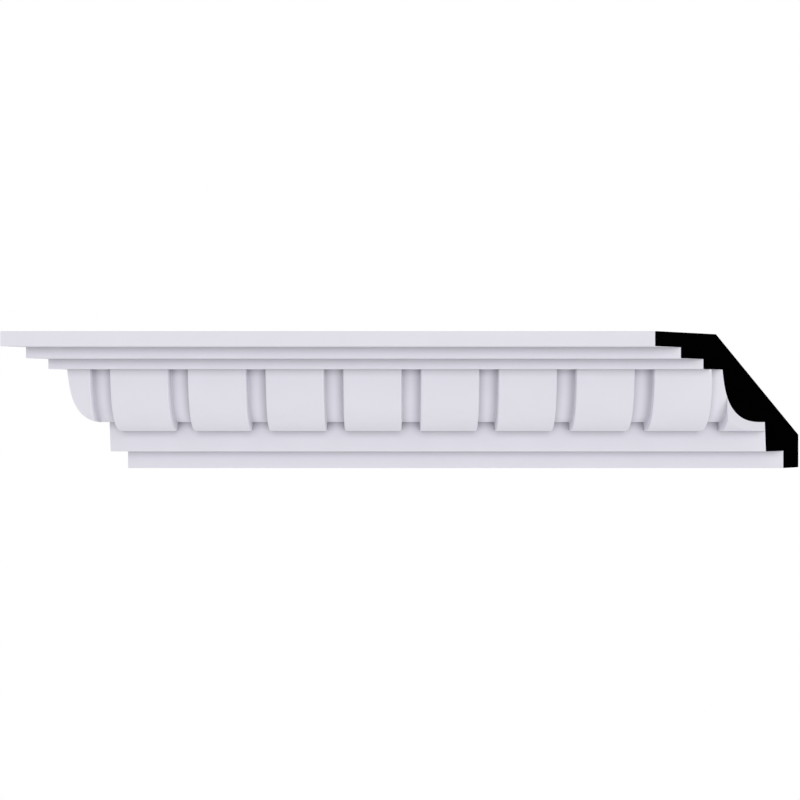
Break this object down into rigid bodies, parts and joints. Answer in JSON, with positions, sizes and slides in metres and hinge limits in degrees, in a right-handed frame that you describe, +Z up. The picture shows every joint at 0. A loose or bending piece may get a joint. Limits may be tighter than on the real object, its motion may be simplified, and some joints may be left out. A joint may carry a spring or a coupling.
{
  "type": "cornice moulding length",
  "caption": "Mitred length of stepped crown moulding with a row of ovolo teeth, for the corner between a wall and a ceiling.",
  "frame": {"origin": "middle of the flat wall face at the back", "axes": "+X along the moulding to the right as seen from the room, +Y into the wall, +Z up to the ceiling"},
  "size_m": [0.7878, 0.1365, 0.1344],
  "materials": {
    "moulding": "matt factory primer"
  },
  "bodies": {
    "root": {"moulding": "moulding"}
  },
  "joints": []
}
